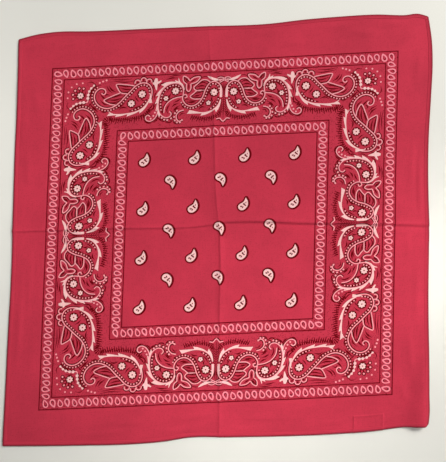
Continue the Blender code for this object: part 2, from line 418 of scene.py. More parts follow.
def linear(hex_color):
    """Turn an sRGB hex colour into linear light."""
    values = [int(hex_color[i:i + 2], 16) / 255.0 for i in (1, 3, 5)]
    return [x / 12.92 if x <= 0.04045 else ((x + 0.055) / 1.055) ** 2.4 for x in values]


def color_setting(name, description, hex_color):
    """A colour property that starts from an sRGB hex value."""
    return bpy.props.FloatVectorProperty(
        name=name, description=description, default=linear(hex_color), subtype="COLOR",
        size=3, min=0.0, max=1.0,
    )


def size_setting(name, description, size):
    """A length property that starts from a size in millimetres."""
    return bpy.props.FloatProperty(
        name=name, description=description, default=size * MM, min=0.1 * MM,
        subtype="DISTANCE", unit="LENGTH",
    )


def power_setting(name, description, power):
    """A light's power, in watts."""
    return bpy.props.FloatProperty(
        name=name, description=description, default=power, min=0.0, unit="POWER"
    )


class BandanaClothSettings(bpy.types.PropertyGroup):
    """Colours and weave of the cloth and its sewing."""

    ground: color_setting("Ground", "Dyed colour of the cloth", "#C33147")
    thread: color_setting("Thread", "Colour of the hem's sewing thread", "#C22F45")
    ribbon: color_setting("Ribbon", "Colour of the label ribbon", "#EFE9E2")
    thread_pitch: size_setting("Thread pitch", "Distance between neighbouring threads", 0.75)


class BandanaPrintSettings(bpy.types.PropertyGroup):
    """Colours and line widths of the print."""

    light: color_setting("Light ink", "Colour of the brightest pigment", "#F8C8C4")
    pink: color_setting("Pink ink", "Colour of the pigment in the fine lines", "#F6A2A8")
    loop: color_setting("Loop ink", "Colour of the pigment in the bands' loops", "#F78F9C")
    dark: color_setting("Dark ink", "Colour of the dark pigment", "#640309")
    line: size_setting("Line", "Width of the fine light lines", 1.4)
    rule: size_setting("Rule", "Width of the dark lines that frame the bands", 1.3)


class BandanaStageSettings(bpy.types.PropertyGroup):
    """The plain stage and its light."""

    floor: color_setting("Floor", "Colour of the floor", "#E9E7DE")
    key_power: power_setting("Key light", "Power of the large soft light", 76.0)
    front_power: power_setting("Front light", "Power of the narrow light on the front half", 0.14)
    left_power: power_setting("Left light", "Power of the narrow light on the left side", 0.10)
    right_power: power_setting("Right light", "Power of the narrow light on the right edge", 0.05)


# ---------------------------------------------------------------------------------------------
# Materials.


def node(tree, kind, inputs=None, **settings):
    """Add a node to a tree, with its settings, and its inputs set to values or linked to sockets."""
    item = tree.nodes.new(kind)
    for key, value in settings.items():
        setattr(item, key, value)
    for key, value in (inputs or {}).items():
        if isinstance(value, bpy.types.NodeSocket):
            tree.links.new(value, item.inputs[key])
        else:
            item.inputs[key].default_value = value
    return item


def calc(tree, operation, *inputs):
    """The result of a maths node on values and sockets."""
    return node(tree, "ShaderNodeMath", dict(enumerate(inputs)), operation=operation).outputs[0]


def noise(tree, place, scale, detail, roughness=0.5):
    """A noise over places, as a socket."""
    inputs = {"Vector": place, "Scale": scale, "Detail": detail, "Roughness": roughness}
    return node(tree, "ShaderNodeTexNoise", inputs).outputs[0]


def drawn_out(tree, place, stretch):
    """Places scaled apart along each axis."""
    return node(tree, "ShaderNodeMapping", {"Vector": place, "Scale": stretch}).outputs[0]


def start_material(name, roughness, sheen, specular=0.2):
    """Start a cloth material, and give its tree and its shader."""
    material = bpy.data.materials.new(name)
    material.use_nodes = True
    tree = material.node_tree
    shader = tree.nodes["Principled BSDF"]
    for key, value in (
        ("Roughness", roughness), ("IOR", 1.5), ("Specular IOR Level", specular),
        ("Sheen Weight", sheen), ("Sheen Roughness", 0.5),
    ):
        shader.inputs[key].default_value = value
    return material, tree, shader


def weave(tree, pitch):
    """Plain weave along the cloth's own u and v.

    It gives sockets of the weave's height, its slubs and its place, and the node that splits the
    place into u and v.
    """
    place = node(tree, "ShaderNodeUVMap", uv_map="weave").outputs[0]
    parts = node(tree, "ShaderNodeSeparateXYZ", {0: place})
    waves = []
    slubs = []
    for axis, stretch in (("X", (1400.0, 60.0, 1.0)), ("Y", (60.0, 1400.0, 1.0))):
        waves.append(calc(tree, "SINE", calc(tree, "MULTIPLY", parts.outputs[axis], math.pi / pitch)))
        slubs.append(noise(tree, drawn_out(tree, place, stretch), 1.0, 1.5))
    slub = calc(tree, "ADD", *slubs)
    height = calc(tree, "MULTIPLY_ADD", calc(tree, "MULTIPLY", *waves), 0.35, slub)
    return height, slub, place, parts


def finish_material(tree, shader, color, height, depth):
    """Give a shader its colour, and a bump of a height socket of the stated depth in metres."""
    tree.links.new(color, shader.inputs["Base Color"])
    bump = node(tree, "ShaderNodeBump", {"Height": height, "Distance": depth, "Strength": 1.0})
    tree.links.new(bump.outputs[0], shader.inputs["Normal"])


def blend_colors(tree, factor, first, second):
    """Mix two colours, each a value or a socket, by a factor socket, and give the mixed colour."""
    inputs = {0: factor}
    for socket, color in ((6, first), (7, second)):
        inputs[socket] = color if isinstance(color, bpy.types.NodeSocket) else (*color, 1.0)
    return node(tree, "ShaderNodeMix", inputs, data_type="RGBA").outputs[2]


def shaded(tree, color, amount):
    """Scale a colour socket by an amount socket."""
    return node(tree, "ShaderNodeVectorMath", {0: color, "Scale": amount}, operation="SCALE").outputs[0]


def toned(color, share):
    """A colour value scaled by a share."""
    return [channel * share for channel in color]


def ranged(tree, value, low, high, to_low, to_high):
    """Map a value socket from one range to another, held at the ends."""
    limits = {"Value": value, "From Min": low, "From Max": high, "To Min": to_low, "To Max": to_high}
    return node(tree, "ShaderNodeMapRange", limits).outputs[0]


# The stipple's share of dark ink, and what each ring of the print adds to it: outer and inner
# reach, then the share.
STIPPLE = 0.5
STIPPLE_RINGS = (
    (OUTER_LINE, INNER_INSET, 1.0), (OUTER_LINE, OUTER_INSET, 1.3), (INNER_LINE, INNER_INSET, 1.3),
)
STIPPLE_PITCH = 1.9 * MM


def printed_cotton(cloth, ink):
    """Plain-weave cotton, piece dyed: matte, with fine slubs and a slightly uneven dye.

    An engraved stipple of the dark ink mutes the ground, faintly in the field and the margin and
    more where the border and its bands are printed. The weave is drawn at twice the real thread
    spacing of 0.38 mm, so that it shows.
    """
    material, tree, shader = start_material("printed plain-weave cotton", 0.85, 0.03)
    height, slub, place, parts = weave(tree, cloth.thread_pitch)
    dye = ranged(tree, noise(tree, place, 14.0, 4.0, 0.6), 0.34, 0.66, 0.92, 1.08)
    threads = ranged(tree, slub, 0.6, 1.4, 0.94, 1.06)
    reach = [
        calc(tree, "DIVIDE", calc(tree, "ABSOLUTE", parts.outputs[axis]), stretch)
        for axis, stretch in (("X", PRINT_TO_U), ("Y", PRINT_TO_V))
    ]
    ring = calc(tree, "MAXIMUM", *reach)
    cells = {"Vector": place, "Scale": 1.0 / STIPPLE_PITCH, "Randomness": 0.8}
    stipple = node(tree, "ShaderNodeTexVoronoi", cells).outputs["Distance"]
    dots = ranged(tree, stipple, 0.18, 0.42, 0.42, 0.04)
    share = STIPPLE
    for far, near, added in STIPPLE_RINGS:
        inside = calc(tree, "COMPARE", ring, (far + near) / 2.0, (far - near) / 2.0)
        share = calc(tree, "MULTIPLY_ADD", inside, added, share)
    color = blend_colors(tree, calc(tree, "MULTIPLY", dots, share), cloth.ground, ink.dark)
    color = shaded(tree, color, calc(tree, "MULTIPLY", dye, threads))
    finish_material(tree, shader, color, height, 0.00006)
    return material


def turned_cotton(cloth):
    """The same cotton turned and pressed flat in the hem, with painted shade along its outer fold.

    The colour darkens towards the cloth's edge. This painted shade draws a thin dark line round the cloth
    where the rolled edge turns away from the light.
    """
    material, tree, shader = start_material("turned plain-weave cotton", 0.85, 0.03)
    height, slub, _, parts = weave(tree, cloth.thread_pitch)
    threads = ranged(tree, slub, 0.7, 1.3, 0.0, 1.0)
    color = blend_colors(tree, threads, toned(cloth.ground, 0.92), toned(cloth.ground, 1.02))
    reach = [
        calc(tree, "SUBTRACT", calc(tree, "ABSOLUTE", parts.outputs[axis]), half)
        for axis, half in (("X", HALF_WIDTH), ("Y", HALF_DEPTH))
    ]
    # Painted shade: the colour falls to 0.48 of itself from 3 mm to 1.2 mm in from the cloth's outer fold.
    painted_edge_shade = ranged(tree, calc(tree, "MAXIMUM", *reach), -3.0 * MM, -1.2 * MM, 1.0, 0.48)
    finish_material(tree, shader, shaded(tree, color, painted_edge_shade), height, 0.00006)
    return material


# The inks: name of the material, setting that holds its colour, share of the ground that shows
# through in the gaps between threads, and gloss.
LIGHT_INK = ("white pigment ink", "light", 0.20, 0.15)           # opaque, a warm and chalky pink-white
PINK_INK = ("thin white pigment ink", "pink", 0.26, 0.15)        # fine lines, turned pink by the ground
LOOP_INK = ("screened white pigment ink", "loop", 0.26, 0.15)    # the thinnest, a clear rose pink
DARK_INK = ("black pigment ink", "dark", 0.14, 0.03)             # deep, flat maroon with hardly any shine


def pigment(context, name, setting, show_through, gloss):
    """Pigment printed on cotton: matte, following the weave, with the ground in the gaps of threads."""
    made = bpy.data.materials.get(name)
    if made:
        return made
    cloth = context.scene.bandana_cloth
    color = getattr(context.scene.bandana_print, setting)
    material, tree, shader = start_material(name, 0.85, 0.0, gloss)
    height, slub, _, _ = weave(tree, cloth.thread_pitch)
    gaps = ranged(tree, height, 0.55, 1.25, show_through, 0.0)
    mixed = blend_colors(tree, gaps, color, cloth.ground)
    threads = ranged(tree, slub, 0.6, 1.4, 0.95, 1.05)
    finish_material(tree, shader, shaded(tree, mixed, threads), height, 0.00005)
    return material


def spun_polyester(color):
    """Spun polyester sewing thread: a soft shine, with the ply's slant across each stitch."""
    material, tree, shader = start_material("spun polyester thread", 0.5, 0.25)
    place = node(tree, "ShaderNodeUVMap", uv_map="weave").outputs[0]
    bands = {"Vector": place, "Scale": 1.0 / (2.4 * MM), "Distortion": 0.6, "Detail": 1.0}
    ply = node(tree, "ShaderNodeTexWave", bands, bands_direction="DIAGONAL").outputs["Fac"]
    finish_material(tree, shader, blend_colors(tree, ply, toned(color, 0.72), color), ply, 0.00004)
    return material


def satin_ribbon(color):
    """Woven polyester satin ribbon: smooth, with fine lines along its length and a soft shine."""
    material, tree, shader = start_material("woven satin ribbon", 0.38, 0.3)
    shader.inputs["Anisotropic"].default_value = 0.4
    place = node(tree, "ShaderNodeUVMap", uv_map="weave").outputs[0]
    lines = noise(tree, drawn_out(tree, place, (150.0, 4200.0, 1.0)), 1.0, 2.0)
    mixed = blend_colors(tree, ranged(tree, lines, 0.35, 0.65, 0.0, 1.0), toned(color, 0.86), color)
    finish_material(tree, shader, mixed, lines, 0.00003)
    return material


def painted_board(color):
    """Matte painted board: pale, even and barely mottled."""
    material, tree, shader = start_material("matte painted board", 0.7, 0.0)
    place = node(tree, "ShaderNodeTexCoord").outputs["Object"]
    mottle = ranged(tree, noise(tree, place, 5.0, 3.0), 0.35, 0.65, 0.0, 1.0)
    tree.links.new(blend_colors(tree, mottle, toned(color, 0.96), color), shader.inputs["Base Color"])
    return material


# ---------------------------------------------------------------------------------------------
# Making pieces.


def finish_piece(name, shape, material, carry, replaced=(), sharp=None):
    """Make a piece of a bmesh. carry() takes its points to (u, v) and to their places."""
    bmesh.ops.recalc_face_normals(shape, faces=shape.faces)
    mesh = bpy.data.meshes.new(name)
    shape.to_mesh(mesh)
    shape.free()
    points = np.empty(len(mesh.vertices) * 3)
    mesh.vertices.foreach_get("co", points)
    on_cloth, places = carry(points.reshape(-1, 3))
    mesh.vertices.foreach_set("co", places.ravel())
    corners = np.empty(len(mesh.loops), int)
    mesh.loops.foreach_get("vertex_index", corners)
    layer = mesh.uv_layers.new(name="weave")
    layer.data.foreach_set("uv", on_cloth[corners].ravel())
    if sharp is not None:
        mesh.shade_smooth()
        mesh.set_sharp_from_angle(angle=math.radians(sharp))
    mesh.update()
    mesh.materials.append(material)
    piece = bpy.data.objects.new(name, mesh)
    bpy.context.scene.collection.objects.link(piece)
    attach(piece, BODY)
    if replaced:
        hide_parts(*replaced)
    return piece


def thicken(shape, wall):
    """Give a flat shape a wall: its faces stay as they are below, and copies stand above."""
    raised = bmesh.ops.extrude_face_region(shape, geom=shape.faces[:], use_keep_orig=True)
    top = [item for item in raised["geom"] if isinstance(item, bmesh.types.BMVert)]
    bmesh.ops.translate(shape, verts=top, vec=(0.0, 0.0, wall))


def make_cloth(cloth, ink):
    """The printed square up to its hems: a thin wall of cloth on a grid that follows the folds."""
    u_lines = U_LINES[np.abs(U_LINES) <= HALF_WIDTH - RIM_INSET + LINES_APART]
    v_lines = V_LINES[np.abs(V_LINES) <= HALF_DEPTH - RIM_INSET + LINES_APART]
    columns = len(u_lines) - 1
    rows = len(v_lines) - 1
    shape = bmesh.new()
    bmesh.ops.create_grid(shape, x_segments=columns, y_segments=rows, size=0.5)
    thicken(shape, CLOTH)

    def carry(points):
        u = u_lines[np.rint((points[:, 0] + 0.5) * columns).astype(int)]
        v = v_lines[np.rint((points[:, 1] + 0.5) * rows).astype(int)]
        return np.stack([u, v], axis=1), lay_out(u, v, points[:, 2])

    material = printed_cotton(cloth, ink)
    return finish_piece("cloth", shape, material, carry, ("panel",), 50.0)


# Sides of the cloth: node name, then the (u, v) direction in which the side faces.
SIDES = (("front", 0, -1), ("back", 0, 1), ("left", -1, 0), ("right", 1, 0))


def side_place(face_u, face_v, run, inward):
    """Places on the cloth at a run along a side and a distance in from its outer fold."""
    u = face_u * (HALF_WIDTH - inward) if face_u else run
    v = face_v * (HALF_DEPTH - inward) if face_v else run
    return u, v


def pucker(run, seed):
    """Slight unevenness of a hem along its length, from -1 to 1."""
    return (
        0.5 * np.sin(run / 0.0091 + seed) + 0.3 * np.sin(run / 0.0047 + 2.3 * seed)
        + 0.2 * np.sin(run / 0.0173 + 0.7 * seed)
    )


def make_hem(side, face_u, face_v, material):
    """One turned hem: its section carried along the side as a closed, flattened roll."""
    half_run = (HALF_WIDTH if face_v else HALF_DEPTH - HEM_WIDTH) - HEM_GAP
    inward, tall = np.array(HEM_SECTION).T * MM
    count = len(inward)
    shape = bmesh.new()
    made = bmesh.ops.create_grid(shape, x_segments=HEM_STEPS, y_segments=count, size=0.5)["verts"]
    for vertex in made:
        angle = 2.0 * math.pi * (vertex.co.y + 0.5)
        vertex.co = (vertex.co.x, math.cos(angle), math.sin(angle))
    bmesh.ops.remove_doubles(shape, verts=made, dist=1e-4)
    bmesh.ops.holes_fill(shape, edges=[edge for edge in shape.edges if edge.is_boundary], sides=0)
    seed = 1.0 + 1.7 * face_u + 2.9 * face_v

    def carry(points):
        run = points[:, 0] * 2.0 * half_run
        angle = np.arctan2(points[:, 2], points[:, 1])
        ring = np.rint(angle / (2.0 * math.pi) * count).astype(int) % count
        rough = pucker(run, seed)
        end = HEM_THIN + (1.0 - HEM_THIN) * smooth((half_run - np.abs(run)) / HEM_END)
        depth = inward[ring] + HEM_WANDER * rough * (inward[ring] > HEM_INNER)
        height = tall[ring] * (1.0 + HEM_PUFF * rough) * end
        u, v = side_place(face_u, face_v, run, depth)
        return np.stack([u, v], axis=1), lay_out(u, v, height)

    name = f"hem_{side}"
    return finish_piece(f"{name}_turned", shape, material, carry, (name,), 60.0)


def make_stitches(material):
    """The hems' lockstitches, each a short rounded bridge of thread that dips in at its ends."""
    one = bmesh.new()
    lying = Matrix.Rotation(math.pi / 2.0, 4, "Y")
    bmesh.ops.create_uvsphere(one, u_segments=6, v_segments=4, radius=0.5, matrix=lying)
    bmesh.ops.scale(one, verts=one.verts, vec=STITCH_SIZE)
    pattern = bpy.data.meshes.new("stitch")
    one.to_mesh(pattern)
    one.free()
    for side, face_u, face_v in SIDES:
        half_run = (HALF_WIDTH if face_v else HALF_DEPTH) / MM - STITCH_MARGIN
        shape = bmesh.new()
        for number in range(int(2.0 * half_run / STITCH_PITCH)):
            start = len(shape.verts)
            shape.from_mesh(pattern)
            shape.verts.ensure_lookup_table()
            run = -half_run + (number + 0.5) * STITCH_PITCH + STITCH_STRAY[0] * math.sin(number * 2.7)
            across = STITCH_STRAY[1] * math.sin(number * 1.3)
            slant = math.radians(STITCH_SLANT[0] + STITCH_SLANT[1] * math.sin(number * 1.9))
            place = Matrix.Translation((run, across, 0.0)) @ Matrix.Rotation(slant, 4, "Z")
            bmesh.ops.transform(shape, verts=shape.verts[start:], matrix=place)

        def carry(points):
            u, v = side_place(face_u, face_v, points[:, 0] * MM, (STITCH_LINE + points[:, 1]) * MM)
            return np.stack([u, v], axis=1), lay_out(u, v, (STITCH_LEVEL + points[:, 2]) * MM)

        finish_piece(f"stitches_{side}", shape, material, carry, (), 60.0)
    bpy.data.meshes.remove(pattern)


def make_label(material):
    """The label: a plain ribbon with a turned edge, sewn in the front hem, under the cloth."""
    width, depth = LABEL_RIGHT - LABEL_LEFT, LABEL_BACK - LABEL_FRONT
    shape = bmesh.new()
    bmesh.ops.create_grid(shape, x_segments=24, y_segments=12, size=0.5)
    thicken(shape, LABEL_THICK - LABEL_BEVEL)
    rim = [edge for edge in shape.edges if edge.calc_face_angle(0.0) > 1.0]
    bmesh.ops.bevel(
        shape, geom=rim, offset=LABEL_BEVEL, segments=2, profile=0.5, affect="EDGES", material=-1,
        clamp_overlap=True,
    )

    def carry(points):
        u = LABEL_LEFT + (points[:, 0] + 0.5) * width
        v = LABEL_FRONT + (points[:, 1] + 0.5) * depth
        return np.stack([u, v], axis=1), place_at(u, v, points[:, 2])

    return finish_piece("label_ribbon", shape, material, carry, ("label",), 50.0)


# ---------------------------------------------------------------------------------------------
# Drawing with ink. Everything here is in print millimetres, and lies flat at its ink's level.


def curve(knots, closed=False, step=1.3):
    """Points at even steps on a smooth curve through the knots."""
    knots = np.array(knots, float)
    if closed:
        ring = np.vstack([knots[-1], knots, knots[:2]])
    else:
        ring = np.vstack([2.0 * knots[0] - knots[1], knots, 2.0 * knots[-1] - knots[-2]])
    runs = []
    for i in range(1, len(ring) - 2):
        before, first, last, after = ring[i - 1:i + 3]
        gap = np.linalg.norm(last - first)
        leave = (last - before) * gap / (gap + np.linalg.norm(first - before))
        arrive = (after - first) * gap / (gap + np.linalg.norm(after - last))
        count = max(1, int(round(gap / step)))
        t = (np.arange(count) / count)[:, None]
        easing = t * t * (3.0 - 2.0 * t)
        runs.append(first + (last - first) * easing + leave * t * (1 - t) ** 2 + arrive * t * t * (t - 1))
    runs.append(ring[-2:-1])
    return np.concatenate(runs)


def normals(path, closed=False):
    """Unit directions to the left of a path at each of its points."""
    if closed:
        ring = np.vstack([path[-2], path, path[1]])
        along = ring[2:] - ring[:-2]
    else:
        along = np.gradient(path, axis=0)
    along /= np.maximum(np.linalg.norm(along, axis=1), 1e-9)[:, None]
    return np.stack([-along[:, 1], along[:, 0]], axis=1)


def offset(path, distance, closed=False):
    """The path moved to its left by a distance."""
    return path + normals(path, closed) * distance


def fill(ink, left, right, level, across=1):
    """Ink between two lines of as many points each."""
    made = bmesh.ops.create_grid(ink, x_segments=len(left) - 1, y_segments=across, size=0.5)["verts"]
    places = [right + (left - right) * (row / across) for row in range(across + 1)]
    for vertex, place in zip(made, np.concatenate(places)):
        vertex.co = (place[0], place[1], level)
    return made


def line(ink, path, width, level, closed=False, taper=(0.0, 0.0)):
    """A line of ink along a path. Each end narrows over its share of the length in taper."""
    run = np.linspace(0.0, 1.0, len(path))
    half = np.full(len(path), width / 2.0) if np.isscalar(width) else np.array(width) / 2.0
    if taper[0]:
        half = half * np.sqrt(np.clip(run / taper[0], 0.03, 1.0))
    if taper[1]:
        half = half * np.sqrt(np.clip((1.0 - run) / taper[1], 0.03, 1.0))
    side = normals(path, closed) * half[:, None]
    made = fill(ink, path + side, path - side, level)
    if closed:
        bmesh.ops.remove_doubles(ink, verts=made, dist=1e-4)


def swell(count, narrow, wide, peak=0.5):
    """Widths that grow from narrow to wide at the peak and back."""
    run = np.linspace(0.0, 1.0, count)
    shape = np.where(run < peak, run / peak, (1.0 - run) / (1.0 - peak))
    return narrow + (wide - narrow) * smooth(shape)


def dot(ink, x, y, radius, level, sides=9, stretch=1.0, turn=0.0):
    """A round or oval spot of ink."""
    size = Matrix.Diagonal((radius * stretch, radius, 1.0, 1.0))
    place = Matrix.Translation((x, y, level)) @ Matrix.Rotation(turn, 4, "Z") @ size
    bmesh.ops.create_circle(ink, cap_ends=True, cap_tris=True, segments=sides, radius=1.0, matrix=place)


def even(path, spacing):
    """Places and left-hand directions at even spacing along a path, with both ends kept clear."""
    steps = np.linalg.norm(np.diff(path, axis=0), axis=1)
    run = np.concatenate([[0.0], np.cumsum(steps)])
    count = max(1, int(round(run[-1] / spacing)))
    at = (np.arange(count) + 0.5) * run[-1] / count
    sides = normals(path)
    places = np.stack([np.interp(at, run, path[:, k]) for k in (0, 1)], axis=1)
    directions = np.stack([np.interp(at, run, sides[:, k]) for k in (0, 1)], axis=1)
    return list(zip(places, directions))


def beads(light, path, spacing, radius):
    """A row of light beads."""
    for number, (place, _) in enumerate(even(path, spacing)):
        dot(light, *place, radius * (1.0 + 0.1 * math.sin(number * 2.2)), LIGHT + 0.003, sides=8)


def keyed(light, dark, path, width, shade=0.9, closed=False, taper=(0.0, 0.0)):
    """A light line with a dark one beside it, to its left where shade is positive."""
    line(dark, offset(path, shade, closed), width + 1.2, UNDER, closed, taper)
    line(light, path, width, LIGHT, closed, taper)


def around(x, y, reach, angle):
    """The point at a distance and a direction from another."""
    return x + reach * math.cos(angle), y + reach * math.sin(angle)


def shaded_beads(light, dark, places, radius, shade_x, shade_y, shade_radius):
    """Light beads, each over a dark spot to one side."""
    for x, y in places:
        dot(dark, x + shade_x, y + shade_y, shade_radius, UNDER + 0.004, sides=8)
        dot(light, x, y, radius, LIGHT + 0.004, sides=8)


def flower(light, dark, x, y, radius, petals=8, turn=0.0):
    """A small open flower with a dark eye, on a dark ground."""
    dot(dark, x, y, radius * 1.3, UNDER + 0.008, sides=16)
    dot(light, x, y, radius * 0.78, LIGHT, sides=14)
    for number in range(petals):
        angle = turn + 2.0 * math.pi * number / petals
        level = LIGHT + 0.004 * (number % 2 + 1)
        place = around(x, y, radius * 0.66, angle)
        dot(light, *place, radius * 0.24, level, sides=8, stretch=1.45, turn=angle)
    dot(dark, x, y, radius * 0.20, OVER, sides=8)


def leaf(light, dark, knots, width):
    """A leaf drawn in outline, open at its foot."""
    keyed(light, dark, curve(knots), width, shade=-0.9)


def fringe(dark, path, near, far, spacing, width, lean=0.0):
    """A comb of dark strokes beside a path, from near to far on its left."""
    for number, (place, left) in enumerate(even(path, spacing)):
        along = np.array([left[1], -left[0]])
        reach = far * (1.0 + 0.18 * math.sin(number * 2.4))
        start = place + left * near
        end = place + left * reach + along * lean
        spine = np.linspace(start, end, 4)
        line(dark, spine, np.linspace(width, width * 0.45, 4), UNDER + 0.003 * (number % 3))


def stamp(target, drawn, copies):
    """Put copies of a drawing in a larger one, turned and mirrored, and free the drawing."""
    pattern = bpy.data.meshes.new("drawn")
    drawn.to_mesh(pattern)
    drawn.free()
    for matrix in copies:
        start = len(target.verts)
        target.from_mesh(pattern)
        target.verts.ensure_lookup_table()
        bmesh.ops.transform(target, verts=target.verts[start:], matrix=matrix)
    bpy.data.meshes.remove(pattern)


def quarter_turns(mirrored=False):
    """Matrices for the four sides of the square, and for their mirror images."""
    turns = [Matrix.Rotation(math.pi / 2.0 * number, 4, "Z") for number in range(4)]
    if mirrored:
        flip = Matrix.Diagonal((-1.0, 1.0, 1.0, 1.0))
        turns += [turn @ flip for turn in turns]
    return turns


def follow_folds(shape):
    """Cut a flat drawing along the cloth's grid where the folds run, so that it bends with them."""
    for lines, (first, last), stretch, axis in (
        (U_LINES, FOLDED_U, PRINT_TO_U, (1.0, 0.0, 0.0)), (V_LINES, FOLDED_V, PRINT_TO_V, (0.0, 1.0, 0.0))
    ):
        side = Vector(axis)
        for at in lines[(lines >= first * MM) & (lines <= last * MM)] / stretch:
            near = [
                face for face in shape.faces
                if min(v.co @ side for v in face.verts) < at < max(v.co @ side for v in face.verts)
            ]
            edges = {edge for face in near for edge in face.edges}
            corners = {vertex for face in near for vertex in face.verts}
            bmesh.ops.bisect_plane(
                shape, geom=near + list(edges) + list(corners), dist=1e-4, plane_co=side * at, plane_no=side
            )


def print_piece(context, name, shape, ink):
    """Give a drawing its film of one of the inks, and lay it on the cloth."""
    follow_folds(shape)
    bmesh.ops.translate(shape, verts=shape.verts, vec=(0.0, 0.0, -FILM))
    thicken(shape, FILM)

    def carry(points):
        u = points[:, 0] * PRINT_TO_U
        v = points[:, 1] * PRINT_TO_V
        return np.stack([u, v], axis=1), lay_out(u, v, CLOTH + points[:, 2] * MM)

    return finish_piece(name, shape, pigment(context, *ink), carry)


# ---------------------------------------------------------------------------------------------
# The print's motifs.


def draw_rules(dark, width):
    """The four dark squares that frame the two bands."""
    for number, reach in enumerate((OUTER_LINE, OUTER_INSET, INNER_LINE, INNER_INSET)):
        steps = int(2.0 * reach / 1.6)
        run = np.linspace(-reach - width / 2.0, reach + width / 2.0, steps)
        across = np.full(steps, reach)
        one = bmesh.new()
        line(one, np.stack([run, across], axis=1), width, UNDER + 0.004 * (number % 2))
        stamp(dark, one, quarter_turns())


def teardrop(count, width, length, point=0.75):
    """A teardrop outline, point up, as a closed path."""
    angle = np.linspace(0.0, 2.0 * math.pi, count + 1)
    x = width / 2.0 * np.sin(angle) * np.sin(angle / 2.0) ** point * 1.22
    return np.stack([x, length / 2.0 * np.cos(angle)], axis=1)


# A loop's width, length and how far both stray, and the width and length of the shade in it.
LOOP_SIZE = (5.8, 9.7, 0.4)
LOOP_SHADE = (3.2, 5.8)


def draw_loop(light, dark, width, number):
    """One loop of a band's chain: a light teardrop ring, shaded on one side inside."""
    wide, tall, stray = LOOP_SIZE
    wide = wide + stray * math.sin(number * 1.3)
    tall = tall + stray * math.sin(number * 2.1)
    weight = width * (1.0 + 0.10 * math.sin(number * 3.1))
    line(light, teardrop(22, wide, tall, 0.85), weight, LIGHT, closed=True)
    inner = teardrop(22, *LOOP_SHADE, 0.9)[5:19] - (0.0, 0.3)
    line(dark, inner, swell(len(inner), 0.3, 1.1, 0.4), UNDER)


# Width of a loop's line, as a share of the fine lines' width.
LOOP_WEIGHT = 1.28

# The chains of loops. For each band its middle and its reach, then for its back, left, front and right
# side the count of loops, whether the first of them points in (0) or out (1), the lean of them all,
# and how much further the loop in the corner is turned, in degrees.
CHAINS = (
    ((OUTER_LINE + OUTER_INSET) / 2.0, OUTER_INSET + 2.5,
     ((46, 0, 19, 0), (49, 1, -19, 0), (46, 0, 19, 0), (49, 1, -19, 0))),
    ((INNER_LINE + INNER_INSET) / 2.0, INNER_INSET + 2.5,
     ((27, 1, 19, 0), (29, 0, -19, 90), (27, 0, 19, 0), (29, 1, -19, 0))),
)


def draw_chain(light, dark, middle, reach, width, count, first, lean, corner_turn):
    """A band's chain of loops along one side, and the loop in the corner at the side's right end.

    The loops point in and out by turns.
    """
    for number in range(count + 1):
        x = -reach + 2.0 * reach * (number + 0.5) / count
        y = middle + 0.15 * math.sin(number * 2.3)
        turn = lean + 4.0 * math.sin(number * 1.7) + 180.0 * ((number + first + 1) % 2)
        if number == count:
            x, y, turn = middle, middle, turn + corner_turn
        place = Matrix.Translation((x, y, 0.0)) @ Matrix.Rotation(math.radians(turn), 4, "Z")
        one = (bmesh.new(), bmesh.new())
        draw_loop(*one, width, number)
        stamp(light, one[0], [place])
        stamp(dark, one[1], [place])


def draw_drop(light, dark):
    """One paisley drop of the field: a pale bean with a dark outline and a few dark flecks."""
    outline = curve(
        ((3.0, 9.3), (5.2, 6.4), (6.7, 2.0), (6.3, -2.4), (3.8, -6.2), (0.0, -8.4), (-4.0, -8.0),
         (-6.8, -5.2), (-6.9, -1.6), (-4.4, 0.8), (-1.4, 2.4), (0.6, 4.4), (1.9, 7.2)),
        closed=True, step=1.0,
    )
    half = len(outline) // 2 + 1
    bean = fill(light, outline[:half], outline[::-1][:half], LIGHT, across=6)
    bmesh.ops.remove_doubles(light, verts=bean, dist=1e-4)
    edge = offset(outline, 0.7, closed=True)
    heavy = np.clip(normals(outline, closed=True)[:, 0], -0.3, 1.0)
    line(dark, edge, 2.2 + 0.7 * heavy, OVER, closed=True)
    for x, y, turn, length, width in (
        (-2.9, -3.0, 10, 2.8, 1.9), (-0.9, -4.2, 60, 2.6, 1.7), (1.9, -1.2, -36, 4.0, 2.0),
        (0.5, 0.6, 34, 2.6, 1.7), (3.2, 2.0, 72, 2.2, 1.1),
    ):
        angle = math.radians(turn)
        reach = np.array([math.cos(angle), math.sin(angle)]) * length / 2.0
        spine = np.linspace(np.array([x, y]) - reach, np.array([x, y]) + reach, 4)
        line(dark, spine, swell(4, width * 0.6, width), OVER + 0.004)


FIELD_UP = (-102.3, 98.0, 66.2, -65.8, 4)     # first x and y, steps in x and y, count each way
FIELD_DOWN = (-67.0, 66.7, 66.3, -65.5, 3)


def draw_field(light, dark):
    """The field's drops: four rows point up, with three rows between them point down."""
    for (x0, y0, step_x, step_y, count), flip in ((FIELD_UP, 1.0), (FIELD_DOWN, -1.0)):
        facing = Matrix.Diagonal((1.0, flip, 1.0, 1.0))
        places = [
            Matrix.Translation((x0 + step_x * i, y0 + step_y * j, 0.0)) @ facing
            for i in range(count) for j in range(count)
        ]
        one = (bmesh.new(), bmesh.new())
        draw_drop(*one)
        stamp(light, one[0], places)
        stamp(dark, one[1], places)


def body(light, dark, outline, width, first, last):
    """The edge of a paisley: a light line, and to its right a dark belt with a row of beads.

    The belt runs from the first to the last of the outline's points that are stated.
    """
    keyed(light, dark, outline, width, shade=0.8)
    along = outline[first:last]
    line(dark, offset(along, -3.0), 3.5, UNDER + 0.004, taper=(0.05, 0.05))
    beads(light, offset(along, -3.1), 3.9, 1.05)


def lower_edge(light, dark, outline, last, spacing):
    """The dark belt and the beads along a paisley's lower edge, to the left of its outline."""
    line(dark, offset(outline[2:last], 3.1), 3.3, UNDER + 0.002, taper=(0.05, 0.3))
    beads(light, offset(outline[3:last - 2], 3.1), spacing, 1.0)


